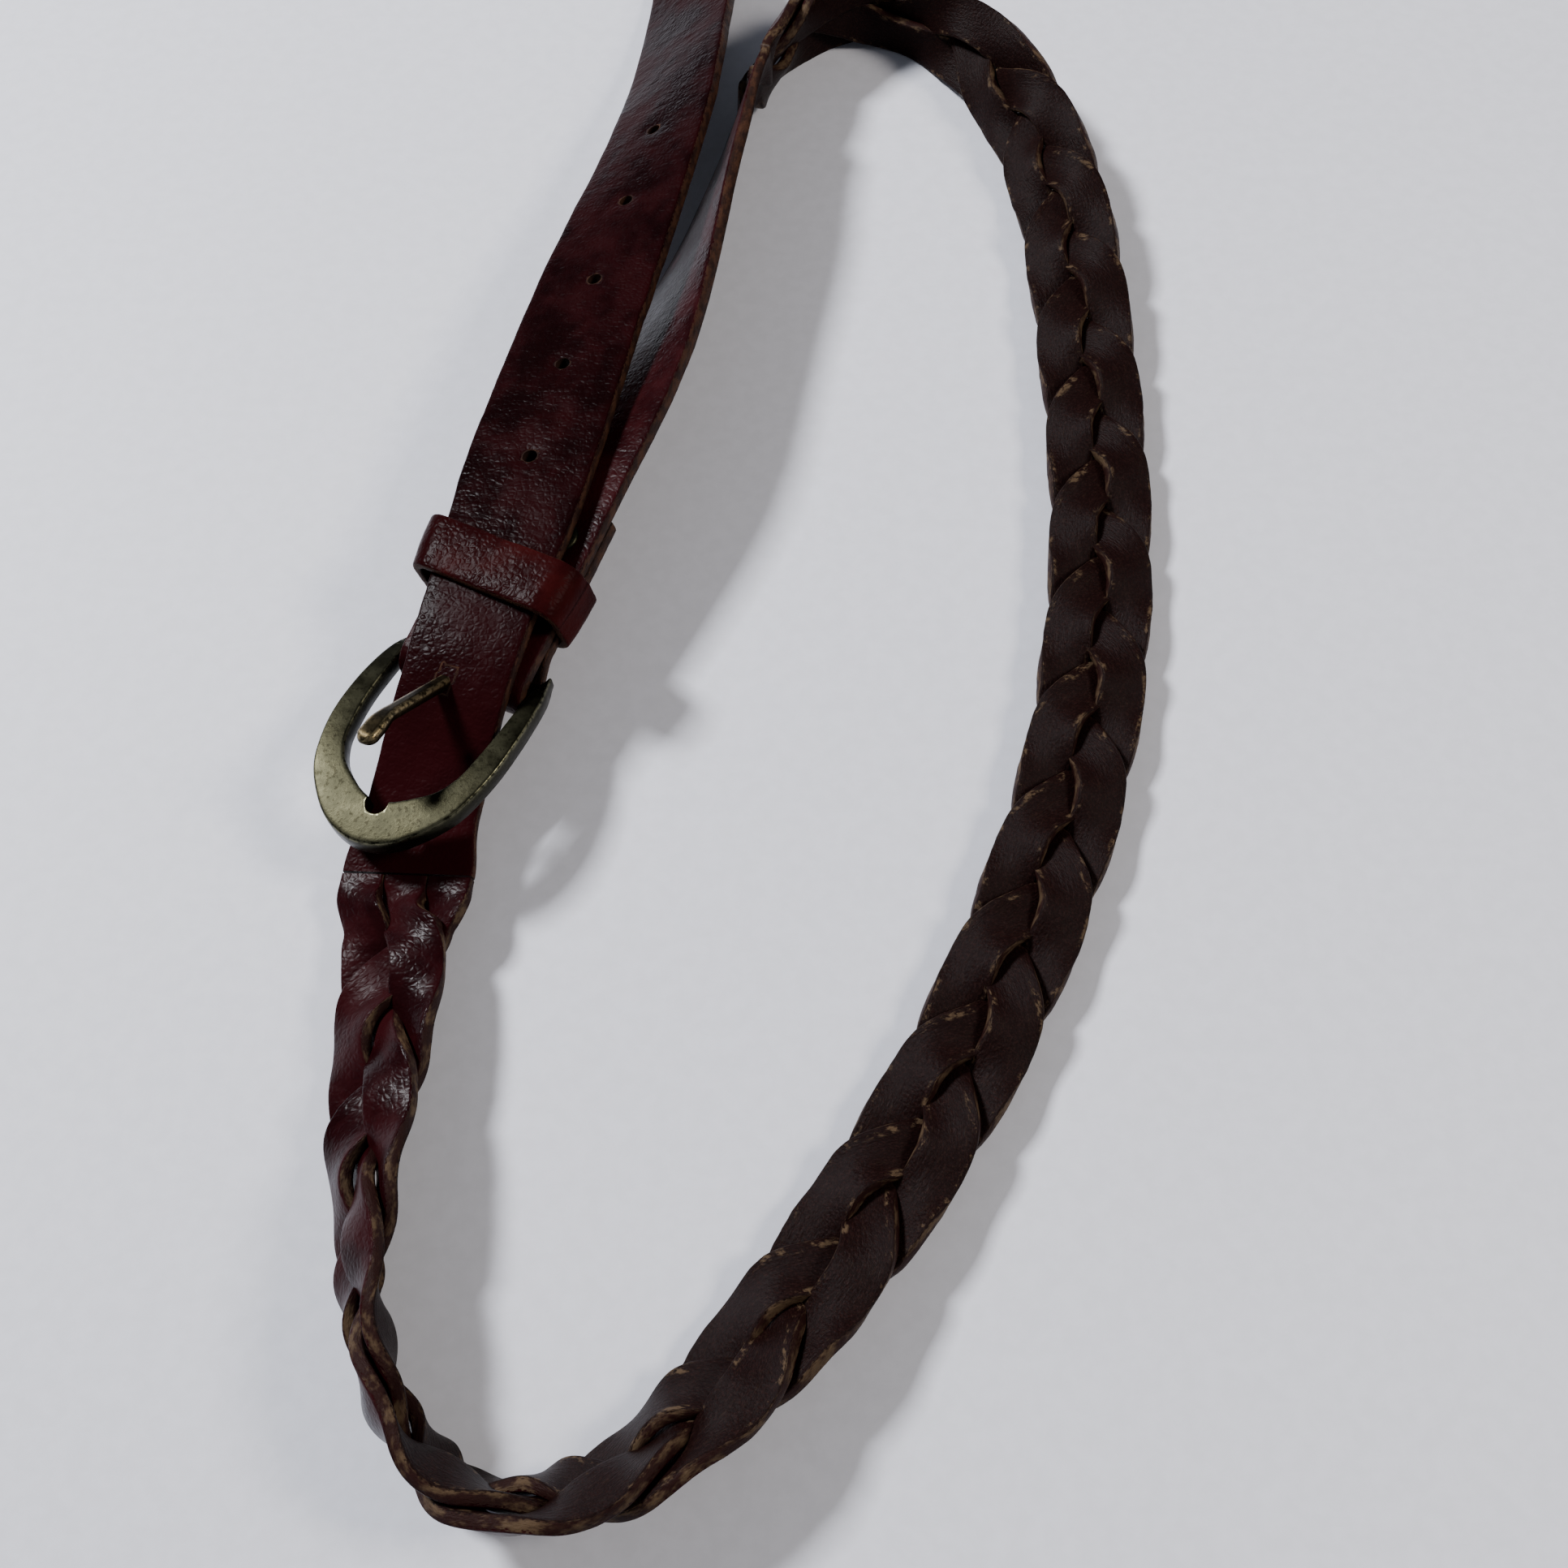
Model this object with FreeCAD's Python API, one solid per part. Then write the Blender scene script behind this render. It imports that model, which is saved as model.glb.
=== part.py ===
"""Plaited leather belt, buckled into a loop and lying on a flat surface.

Millimetres. X is right, Y is away, Z is up; the belt rests on z = 0 with the origin under
the middle of its overall box. The belt is described along one route that starts above the
buckle bar, runs through the keeper, the plait and the whole loop, and comes back over the
bar, through the frame and the keeper to the rounded tip.
"""
import FreeCAD, Part
import math
import os

V = FreeCAD.Vector

# ---- driving dimensions ------------------------------------------------------------------
MIDDLE = V(-5.25, 55.18, -0.26)     # middle of the belt's box in route coordinates

STRAP_WIDTH = 28.6               # 1-1/8 inch strap
STRAP_THICK = 3.0
SLIT_WIDTH = 26.4                # strap width where the slits begin
THROAT_WIDTH = 22.4              # the tip strap is drawn in where it passes the frame
BUCKLE_SLIT = 172.0              # route station where the slits begin, buckle side
TIP_SLIT = 766.0                 # route station where the slits end, tip side
TIP_END = 1047.0
TIP_ROUND = 17.0
STRAND_WIDTH = 8.7
STRAND_THICK = 2.5
LANE = 8.85                      # spacing of the three strands at the slits

PLAIT_PITCH = 78.6
PLAIT_REACH = 7.0                # how far a strand swings to each side
PLAIT_ORIGIN = 739.4
PLAIT_EASE = (0.392, 282.0, 110.0)   # turns let out, from this station, over this length

FIRST_HOLE = 807.0
HOLE_PITCH = 25.4
HOLE_COUNT = 7
HOLE_RADIUS = 1.6

BAR_RADIUS = 2.0
BAR_CLEARANCE = 0.1
FOLD_LENGTH = 40.0
FOLD_SLOT = 4.0
RIVET_STATION = 32.0
RIVET_SPREAD = 7.0
SHANK_RADIUS = 1.6
RIVET_HEAD = 4.0
RIVET_CAP = 3.6
RIVET_PLATE = 0.9

FRAME_THICK = 4.0
FRAME_BOW = 106.0
FRAME_PITCH = -11.4              # degrees, toe raised
FRAME_OFFSET = -0.15
BAR_STATION = 20.0               # bar axis behind the middle of the frame
NOTCH_RADIUS = 2.2

PRONG_PITCH = -43.4
PRONG_LENGTH = 36.0
PRONG_WIDTH = 3.0
PRONG_THICK = 2.6
PRONG_RISE = 1.6
PRONG_BORE = 2.05
PRONG_EYE = 4.0
PRONG_SWING = 10.0

KEEPER_STATION = 19.0
KEEPER_WIDTH = 11.8
KEEPER_WALL = 1.9
KEEPER_TURN = -4.5
KEEPER_LEFT = -17.5
KEEPER_RIGHT = 15.7
KEEPER_BOTTOM = -5.3
KEEPER_TOP = 7.1

# Route control points: x, y, z of the strap's middle and its roll about the route in degrees.
ROUTE = [
    (-63.8, 18.8, 15.6, 7), (-56.0, 37.2, 18.2, 8), (-48.4, 55.5, 19.6, 12),
    (-40.5, 73.5, 19.6, 20), (-33.0, 90.0, 18.0, 32), (-27.5, 107.0, 15.6, 45),
    (-22.5, 125.0, 14.1, 55), (-18.0, 143.0, 14.0, 64), (-13.5, 161.0, 14.2, 70),
    (-9.5, 180.0, 13.3, 74), (-3.0, 202.0, 11.1, 80), (9.5, 218.0, 10.3, 86),
    (27.0, 221.5, 10.5, 97), (44.5, 209.5, 10.8, 113), (57.0, 189.5, 10.3, 128),
    (65.0, 167.0, 9.0, 143), (69.0, 140.0, 7.0, 158), (70.0, 112.0, 5.3, 172),
    (70.5, 84.0, 4.4, 180), (69.0, 54.0, 4.3, 180), (64.5, 21.0, 4.3, 180),
    (56.0, -10.0, 4.3, 180), (43.5, -40.0, 4.3, 180), (28.5, -68.0, 4.6, 176),
    (10.5, -93.0, 6.2, 164), (-6.0, -113.0, 8.8, 145), (-22.5, -128.5, 10.4, 124),
    (-41.0, -136.5, 10.8, 108), (-58.5, -130.0, 10.6, 98), (-68.5, -114.0, 10.3, 82),
    (-73.5, -93.0, 10.6, 62), (-74.0, -70.0, 9.2, 36), (-73.5, -47.0, 7.4, 22),
    (-73.5, -24.0, 6.0, 8), (-70.3, -6.0, 7.9, -2), (-65.9, 9.0, 17.5, 5),
    (-61.5, 25.0, 21.8, 7), (-57.0, 43.0, 22.9, 9), (-52.5, 64.0, 23.2, 10),
    (-47.0, 90.0, 22.8, 12), (-41.0, 117.0, 21.8, 17), (-34.5, 143.0, 21.0, 24),
    (-29.0, 168.0, 19.0, 30), (-26.0, 193.0, 15.0, 35), (-24.0, 218.0, 10.5, 37),
    (-22.0, 243.0, 9.5, 36), (-20.5, 262.0, 8.5, 33)]


# ---- the route ---------------------------------------------------------------------------
def control(index):
    """Control point, continued straight past either end of the route."""
    last = len(ROUTE) - 1
    if index < 0:
        return [2 * a - b for a, b in zip(ROUTE[0], ROUTE[1])]
    if index > last:
        return [2 * a - b for a, b in zip(ROUTE[last], ROUTE[last - 1])]
    return ROUTE[index]


def route_value(u):
    """Uniform cubic B-spline of the control points at parameter u."""
    i = min(max(int(u), 0), len(ROUTE) - 2)
    t = u - i
    weights = ((1 - t) ** 3 / 6, (3 * t ** 3 - 6 * t * t + 4) / 6,
               (-3 * t ** 3 + 3 * t * t + 3 * t + 1) / 6, t ** 3 / 6)
    points = [control(i + k) for k in (-1, 0, 1, 2)]
    return [sum(w * p[c] for w, p in zip(weights, points)) for c in range(4)]


def route_point(u):
    x, y, z, roll = route_value(u)
    return V(x, y, z)


def length_table(step=0.02):
    """Pairs of (distance along the route, parameter)."""
    count = int(round((len(ROUTE) - 1) / step))
    table = [(0.0, 0.0)]
    here = route_point(0.0)
    for i in range(1, count + 1):
        there = route_point(i * step)
        table.append((table[-1][0] + (there - here).Length, i * step))
        here = there
    return table


LENGTHS = length_table()


def parameter_at(station):
    low, high = 0, len(LENGTHS) - 1
    while high - low > 1:
        mid = (low + high) // 2
        if LENGTHS[mid][0] > station:
            high = mid
        else:
            low = mid
    (s0, u0), (s1, u1) = LENGTHS[low], LENGTHS[high]
    return u0 + (station - s0) * (u1 - u0) / (s1 - s0)


def frame_at(station):
    """Middle of the strap, and its along, across (inner edge) and grain directions."""
    u = parameter_at(station)
    x, y, z, roll = route_value(u)
    last = len(ROUTE) - 1
    along = route_point(min(u + 0.01, last)) - route_point(max(u - 0.01, 0.0))
    along.normalize()
    level = V(along.y, -along.x, 0)
    level.normalize()
    above = level.cross(along)
    c, s = math.cos(math.radians(roll)), math.sin(math.radians(roll))
    return V(x, y, z) - MIDDLE, along, level * c + above * s, above * c - level * s


def at(station, across, grain):
    """Point beside the route: across toward the inner edge, grain toward the grain side."""
    middle, along, side, normal = frame_at(station)
    return middle + side * across + normal * grain


def ramp(x):
    x = min(max(x, 0.0), 1.0)
    return x * x * (3 - 2 * x)


def stations(start, end, step):
    count = max(1, int(math.ceil((end - start) / step)))
    return [start + (end - start) * i / count for i in range(count + 1)]


# ---- solids along the route --------------------------------------------------------------
FACE_ROWS = 6                    # rows spanned by one face; long faces measure badly


def ruled(a, b, start, end):
    """Straight-ruled face between the start..end parts of two curves that share their knots."""
    a, b = a.copy(), b.copy()
    a.segment(start, end)
    b.segment(start, end)
    surface = Part.BSplineSurface()
    surface.buildFromPolesMultsKnots(
        [list(pair) for pair in zip(a.getPoles(), b.getPoles())],
        a.getMultiplicities(), [2, 2], a.getKnots(), [0.0, 1.0], False, False, a.Degree, 1)
    return surface.toShape()


def ribbon(rows):
    """Solid whose four long edges run smoothly through rows of four corners."""
    knots = [0.0]
    for a, b in zip(rows, rows[1:]):
        knots.append(knots[-1] + sum((q - p).Length for p, q in zip(a, b)) / 4)
    edges = []
    for k in range(4):
        curve = Part.BSplineCurve()
        curve.interpolate(Points=[row[k] for row in rows], Parameters=knots)
        edges.append(curve)
    breaks = knots[:-5:FACE_ROWS] + [knots[-1]]
    faces = [ruled(edges[k], edges[(k + 1) % 4], start, end)
             for start, end in zip(breaks, breaks[1:]) for k in range(4)]
    for row in (rows[0], rows[-1]):
        faces.append(Part.Face(Part.makePolygon(list(row) + [row[0]])))
    shell = Part.makeShell(faces)
    shell.sewShape()
    solid = Part.makeSolid(shell)
    if solid.Volume < 0:
        solid.reverse()
    return solid


def strap_row(station, half, thick, offset=0.0):
    low, high = offset - thick / 2, offset + thick / 2
    return (at(station, -half, low), at(station, half, low),
            at(station, half, high), at(station, -half, high))


def plait_turns(station):
    """Turns of the plait counted from its origin; it loosens toward the buckle."""
    turns, start, length = PLAIT_EASE
    return (PLAIT_ORIGIN - station) / PLAIT_PITCH - turns * ramp((start - station) / length)


def strand_middle_line(lane, station):
    """Across, grain and slope of one strand; lane is -1 outer, 0 middle, 1 inner."""
    turn = 2 * math.pi * (plait_turns(station) + lane / 3.0)
    across = PLAIT_REACH * (math.cos(turn) - 0.12 * math.cos(3 * turn))
    grain = 0.135 * math.sin(4 * turn) - 1.53 * math.sin(2 * turn)
    slope = 0.58 * math.sin(3 * turn) - 0.03 * math.sin(turn)
    near, far = station - BUCKLE_SLIT, TIP_SLIT - station
    if near < far:
        swing = ramp((near - 3) / 6)
        weave = ramp(near / 8)
    else:
        swing = ramp((far - 4) / 8)
        weave = ramp(far / 8)
    return LANE * lane * (1 - swing) + across * swing, grain * weave, slope * weave


def strand_row(lane, station):
    across, grain, slope = strand_middle_line(lane, station)
    slant = (strand_middle_line(lane, station + 0.3)[0]
             - strand_middle_line(lane, station - 0.3)[0]) / 0.6
    lean = math.hypot(1, slope)
    half = STRAND_WIDTH / 2 * math.hypot(1, slant) / lean
    lift = STRAND_THICK / 2 / lean
    corners = []
    for x, z in ((-half, -lift), (half, -lift), (half, lift), (-half, lift)):
        corners.append(at(station, across + x - slope * z, grain + slope * x + z))
    return tuple(corners)


def strand(lane):
    marks = stations(BUCKLE_SLIT, BUCKLE_SLIT + 12, 1.5)
    marks += stations(BUCKLE_SLIT + 12, TIP_SLIT - 12, 4.0)[1:]
    marks += stations(TIP_SLIT - 12, TIP_SLIT, 1.5)[1:]
    return ribbon([strand_row(lane, s) for s in marks])


def rod(centre, axis, radius, back, ahead):
    return Part.makeCylinder(radius, back + ahead, centre - axis * back, axis)


# ---- leather -----------------------------------------------------------------------------
def buckle_strap():
    """Strap from the slits to the bar, folded round the bar and laid back under itself."""
    rows = []
    for s in stations(0, BUCKLE_SLIT, 4.0):
        taper = ramp((s - BUCKLE_SLIT + 30) / 30)
        half = (STRAP_WIDTH + (SLIT_WIDTH - STRAP_WIDTH) * taper) / 2
        rows.append(strap_row(s, half, STRAP_THICK + (STRAND_THICK - STRAP_THICK) * taper))
    body = ribbon(rows)
    middle, along, side, normal = frame_at(0)
    half = STRAP_WIDTH / 2
    bend = rod(BAR_CENTRE, side, OUTER_BEND, half, half)
    bend = bend.cut(rod(BAR_CENTRE, side, INNER_BEND, half + 1, half + 1))
    bend = bend.common(slab(-20, 0, -half - 1, half + 1, -20, 20))
    drop = -(OUTER_BEND + INNER_BEND)
    rows = []
    for s in stations(0, FOLD_LENGTH, 1.5):
        offset = drop - (drop + STRAP_THICK + 0.15) * ramp(s / 9)
        rows.append(strap_row(s, half, STRAP_THICK, offset))
    body = body.fuse([bend, ribbon(rows)]).removeSplitter()
    body = body.cut(slab(-10, 5.5, -FOLD_SLOT / 2, FOLD_SLOT / 2, -20, 20))
    return body.cut(rivet_posts()).cut(rivet_caps())


def slab(a0, a1, w0, w1, n0, n1):
    """Box in the strap's own directions at the bar, measured from the bar axis."""
    middle, along, side, normal = frame_at(0)
    corner = BAR_CENTRE + along * a0 + side * w0 + normal * n0
    base = [corner, corner + along * (a1 - a0), corner + along * (a1 - a0) + side * (w1 - w0),
            corner + side * (w1 - w0), corner]
    return Part.Face(Part.makePolygon(base)).extrude(normal * (n1 - n0))


def tip_half(s):
    """Half-width of the tip strap."""
    if s > TIP_END - TIP_ROUND:
        x = (s - TIP_END + TIP_ROUND) / (TIP_ROUND + 0.6)
        return STRAP_WIDTH / 2 * math.sqrt(1 - x * x)
    if s < 794:
        return (SLIT_WIDTH + (THROAT_WIDTH - SLIT_WIDTH) * ramp((s - TIP_SLIT) / 14)) / 2
    return (THROAT_WIDTH + (STRAP_WIDTH - THROAT_WIDTH) * ramp((s - 803) / 60)) / 2


def tip_strap():
    marks = stations(TIP_SLIT, TIP_END - TIP_ROUND, 4.0)
    marks += stations(TIP_END - TIP_ROUND, TIP_END, 1.0)[1:]
    rows = []
    for s in marks:
        thick = STRAND_THICK + (STRAP_THICK - STRAND_THICK) * ramp((s - TIP_SLIT) / 20)
        rows.append(strap_row(s, tip_half(s), thick))
    body = ribbon(rows)
    for i in range(1, HOLE_COUNT):
        centre, along, side, normal = frame_at(FIRST_HOLE + i * HOLE_PITCH)
        body = body.cut(rod(centre, normal, HOLE_RADIUS, 6, 6))
    return body.cut(prong_sweep())


def prong_sweep():
    """Wedge the prong sweeps through the leather, with a little room round it."""
    room = 0.35
    low, high = PRONG_PITCH, PRONG_PITCH - PRONG_SWING
    under = PRONG_RISE - PRONG_THICK / 2 - room
    over = PRONG_RISE + PRONG_THICK / 2 + room
    outline = [swing_point(low, 3, under), swing_point(low, 32, under),
               swing_point(high, 32, over), swing_point(high, 3, over)]
    half = PRONG_WIDTH / 2 + room
    side = frame_at(0)[2]
    base = [p - side * half for p in outline]
    return Part.Face(Part.makePolygon(base + [base[0]])).extrude(side * (2 * half))


def swing_point(pitch, reach, rise):
    """Point in the middle plane of the buckle, reach ahead of the bar at a given pitch."""
    middle, along, side, normal = frame_at(0)
    c, s = math.cos(math.radians(pitch)), math.sin(math.radians(pitch))
    ahead = along * -c - normal * s
    above = normal * c - along * s
    return BAR_CENTRE + ahead * reach + above * rise


def keeper_frame():
    middle, along, side, normal = frame_at(KEEPER_STATION)
    c, s = math.cos(math.radians(KEEPER_TURN)), math.sin(math.radians(KEEPER_TURN))
    return middle, along * c - side * s, side * c + along * s, normal


def rounded_bar(left, right, bottom, top, radius, length):
    """Bar of rounded rectangular section along the keeper's axis."""
    middle, axis, side, normal = keeper_frame()
    start = middle - axis * (length / 2)
    corner = start + side * left + normal * bottom
    wide, tall = side * (right - left), normal * (top - bottom)
    face = Part.Face(Part.makePolygon([corner, corner + wide, corner + wide + tall,
                                       corner + tall, corner]))
    bar = face.extrude(axis * length)
    long_edges = [e for e in bar.Edges if abs(e.Length - length) < 1e-6]
    return bar.makeFillet(radius, long_edges)


def staple():
    """Wire staple that closes the keeper's ends together, under the straps."""
    middle, axis, side, normal = keeper_frame()
    face = middle + normal * (KEEPER_BOTTOM - KEEPER_WALL)
    wire = 0.8

    def block(w0, w1, n0, n1):
        corner = face - axis * (wire / 2) + side * w0 + normal * n0
        across, up = side * (w1 - w0), normal * (n1 - n0)
        base = Part.makePolygon([corner, corner + across, corner + across + up, corner + up,
                                 corner])
        return Part.Face(base).extrude(axis * wire)
    crown = block(-4.5, 4.5, -wire, 0)
    legs = [block(-4.5, -4.5 + wire, 0, 1.8), block(4.5 - wire, 4.5, 0, 1.8)]
    return crown.fuse(legs).removeSplitter()


def keeper():
    outer = rounded_bar(KEEPER_LEFT - KEEPER_WALL, KEEPER_RIGHT + KEEPER_WALL,
                        KEEPER_BOTTOM - KEEPER_WALL, KEEPER_TOP + KEEPER_WALL, 5.0,
                        KEEPER_WIDTH)
    inner = rounded_bar(KEEPER_LEFT, KEEPER_RIGHT, KEEPER_BOTTOM, KEEPER_TOP, 1.0,
                        KEEPER_WIDTH + 2)
    return outer.cut(inner).cut(staple())


# ---- metal -------------------------------------------------------------------------------
def rivet_axis(w):
    middle, along, side, normal = frame_at(RIVET_STATION)
    return middle + side * w, normal


def rivet_posts():
    under = -(STRAP_THICK * 1.5 + 0.15)
    posts = []
    for w in (-RIVET_SPREAD, RIVET_SPREAD):
        centre, axis = rivet_axis(w)
        shank = rod(centre, axis, SHANK_RADIUS, -under, STRAP_THICK / 2)
        head = rod(centre, axis, RIVET_HEAD, RIVET_PLATE - under, under)
        posts.append(shank.fuse(head).removeSplitter())
    return Part.makeCompound(posts)


def rivet_caps():
    caps = []
    for w in (-RIVET_SPREAD, RIVET_SPREAD):
        centre, axis = rivet_axis(w)
        cap = rod(centre, axis, RIVET_CAP, -STRAP_THICK / 2, STRAP_THICK / 2 + RIVET_PLATE)
        caps.append(cap)
    return Part.makeCompound(caps)


OUTLINE = [(-23.4, 0.0), (-21.5, 7.1), (-16.7, 12.7), (-11.7, 16.2), (-6.3, 18.0), (0.0, 19.1),
           (5.0, 19.3), (11.5, 19.1), (19.0, 18.1), (24.5, 16.2)]
OPENING = [(-14.7, 0.0), (-13.9, 3.1), (-11.6, 7.1), (-8.7, 10.7), (-5.0, 12.8), (1.3, 14.1),
           (7.0, 14.7), (13.1, 14.9), (20.9, 15.3), (24.5, 16.2)]


def frame_point(u, v, h=0.0):
    """u toward the keeper, v toward the inner edge, h above the plane of bar and toe."""
    side = frame_at(0)[2]
    return swing_point(FRAME_PITCH, BAR_STATION - u, h) + side * (v + FRAME_OFFSET)


def mirrored(points):
    return [(u, -v) for u, v in reversed(points[1:])] + points


def buckle_frame():
    """Horseshoe frame, bowed up along its length, in one piece with its bar."""
    up = frame_point(0, 0, 1) - frame_point(0, 0, 0)
    edges = []
    for line in (OUTLINE, OPENING):
        curve = Part.BSplineCurve()
        curve.interpolate(Points=[frame_point(u, v, -15) for u, v in mirrored(line)])
        edges.append(curve.toShape())
    plate = Part.Face(Part.Wire(edges)).extrude(up * 30)
    toe = OUTLINE[0][0]
    half_chord = (BAR_STATION - toe) / 2
    sag = FRAME_BOW - math.sqrt(FRAME_BOW ** 2 - half_chord ** 2)
    hub = frame_point((BAR_STATION + toe) / 2, 0, sag - FRAME_BOW)
    side = frame_at(0)[2]
    shell = rod(hub, side, FRAME_BOW + FRAME_THICK / 2, 30, 30)
    shell = shell.cut(rod(hub, side, FRAME_BOW - FRAME_THICK / 2, 31, 31))
    body = plate.common(shell)
    body = body.cut(rod(frame_point(OPENING[0][0] - 0.3, 0.6), up, NOTCH_RADIUS, 15, 15))
    bar = rod(frame_point(BAR_STATION, 0), side, BAR_RADIUS, 17.5, 17.5)
    return body.fuse(bar).removeSplitter()


def prong():
    """Flat prong looped round the bar, turned down and rounded at its tip."""
    side = frame_at(0)[2]
    low, high = PRONG_RISE - PRONG_THICK / 2, PRONG_RISE + PRONG_THICK / 2
    bend, drop = PRONG_LENGTH - 7.0, 2.4
    profile = [(0, low), (bend, low), (PRONG_LENGTH, low - drop),
               (PRONG_LENGTH + 0.8, high - drop - 0.4), (bend + 0.5, high), (0, high)]
    base = [swing_point(PRONG_PITCH, r, h) - side * 4 for r, h in profile]
    shaft = Part.Face(Part.makePolygon(base + [base[0]])).extrude(side * 8)
    above = swing_point(PRONG_PITCH, 0, 1) - BAR_CENTRE
    plan = [(0, PRONG_WIDTH / 2), (PRONG_LENGTH - 9, PRONG_WIDTH / 2),
            (PRONG_LENGTH - 4, 2.2), (PRONG_LENGTH - 2.0, 2.1), (PRONG_LENGTH - 0.7, 1.5),
            (PRONG_LENGTH, 0.6)]
    ring = [swing_point(PRONG_PITCH, r, -8) + side * w for r, w in plan]
    ring += [swing_point(PRONG_PITCH, r, -8) - side * w for r, w in reversed(plan)]
    shaft = shaft.common(Part.Face(Part.makePolygon(ring + [ring[0]])).extrude(above * 16))
    eye = rod(BAR_CENTRE, side, PRONG_EYE, PRONG_WIDTH / 2, PRONG_WIDTH / 2)
    body = shaft.fuse(eye).removeSplitter()
    return body.cut(rod(BAR_CENTRE, side, PRONG_BORE, 6, 6))


INNER_BEND = BAR_RADIUS + BAR_CLEARANCE
OUTER_BEND = INNER_BEND + STRAP_THICK
BAR_CENTRE = at(0, 0, -(INNER_BEND + STRAP_THICK / 2))


def nodes():
    return {
        "buckle_strap": buckle_strap(),
        "strand_outer": strand(-1),
        "strand_middle": strand(0),
        "strand_inner": strand(1),
        "tip_strap": tip_strap(),
        "keeper": keeper(),
        "keeper_staple": staple(),
        "rivet_posts": rivet_posts(),
        "rivet_caps": rivet_caps(),
        "buckle_frame": buckle_frame(),
        "prong": prong(),
    }


def main():
    os.makedirs("parts", exist_ok=True)
    for name, shape in nodes().items():
        shape.exportStep("parts/" + name + ".step")


if __name__ == "__main__":
    main()
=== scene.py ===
import math
import bpy
import numpy as np
from mathutils.kdtree import KDTree
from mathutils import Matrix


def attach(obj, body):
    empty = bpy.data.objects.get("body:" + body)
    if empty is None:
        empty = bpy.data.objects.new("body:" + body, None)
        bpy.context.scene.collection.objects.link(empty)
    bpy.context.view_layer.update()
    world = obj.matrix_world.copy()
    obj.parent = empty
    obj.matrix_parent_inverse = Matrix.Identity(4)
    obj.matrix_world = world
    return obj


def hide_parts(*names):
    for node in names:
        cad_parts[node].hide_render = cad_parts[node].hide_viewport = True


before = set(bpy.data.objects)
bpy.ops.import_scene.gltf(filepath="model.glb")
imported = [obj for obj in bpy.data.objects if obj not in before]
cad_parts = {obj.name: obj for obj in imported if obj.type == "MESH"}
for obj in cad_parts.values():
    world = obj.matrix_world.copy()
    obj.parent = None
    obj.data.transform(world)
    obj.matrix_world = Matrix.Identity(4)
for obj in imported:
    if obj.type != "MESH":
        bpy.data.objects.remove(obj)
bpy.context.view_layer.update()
MM = 0.001

# A plaited leather belt, buckled into a loop: worn leather and antiqued brass over the CAD.

# ---- dimensions shared with the CAD, in millimetres ----------------------------------------
MIDDLE = np.array((-5.25, 55.18, -0.26))     # middle of the belt's box in route coordinates
STRAP_WIDTH, STRAP_THICK = 28.6, 3.0
SLIT_WIDTH, THROAT_WIDTH = 26.4, 22.4
BUCKLE_SLIT, TIP_SLIT, TIP_END, TIP_ROUND = 172.0, 766.0, 1047.0, 17.0
STRAND_WIDTH, STRAND_THICK, LANE = 8.7, 2.5, 8.85
PLAIT_PITCH, PLAIT_REACH, PLAIT_ORIGIN = 78.6, 7.0, 739.4
EASE_TURNS, EASE_START, EASE_LENGTH = 0.392, 282.0, 110.0
FIRST_HOLE, HOLE_PITCH, HOLE_COUNT, HOLE_RADIUS = 807.0, 25.4, 7, 1.6
BAR_RADIUS, BAR_CLEARANCE = 2.0, 0.1
FOLD_LENGTH, FOLD_SLOT, FOLD_GAP = 40.0, 4.0, 0.15
FRAME_THICK, FRAME_BOW, FRAME_PITCH = 4.0, 106.0, -11.4
FRAME_OFFSET, BAR_STATION = -0.15, 20.0
PRONG_PITCH, PRONG_LENGTH, PRONG_WIDTH, PRONG_THICK = -43.4, 36.0, 3.0, 2.6
PRONG_RISE, PRONG_BORE, PRONG_EYE, PRONG_SWING = 1.6, 2.05, 4.0, 10.0
KEEPER_STATION, KEEPER_WIDTH, KEEPER_WALL, KEEPER_TURN = 19.0, 11.8, 1.9, -4.5
KEEPER_LEFT, KEEPER_RIGHT, KEEPER_BOTTOM, KEEPER_TOP = -17.5, 15.7, -5.3, 7.1
RIVET_STATION, RIVET_SPREAD, SHANK_RADIUS, RIVET_HEAD, RIVET_CAP = 32.0, 7.0, 1.6, 4.0, 3.6
RIVET_PLATE = 0.9

# ---- looks of the Blender pieces, in millimetres -------------------------------------------
ROW = 0.8                 # spacing of the rows along a swept strap
BEND_RUN = 12.0           # length given to the bend round the bar in the strip coordinates
SWING_FLAT = 0.12         # how much a strand's turns at the belt's edges are flattened
WEAVE, WEAVE_FINE = 1.6, 0.135          # height of the weave, two and four waves a turn
TILT, TILT_FINE = 0.03, 0.36            # slope of a strand, one and three waves a turn
SWELL = 0.17              # how much wider a strand is in the plait than at the slits
TIP_SEED = 300.0          # strip coordinates of the tip strap start this far on
DIMPLE, DIMPLE_RADIUS = 0.35, 2.6       # leather drawn in round a punched hole
SLOT_ROOM = 0.35          # room round the prong in the leather
NOTCH_RADIUS = 2.4        # prong rest, a little wider than in the CAD

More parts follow.
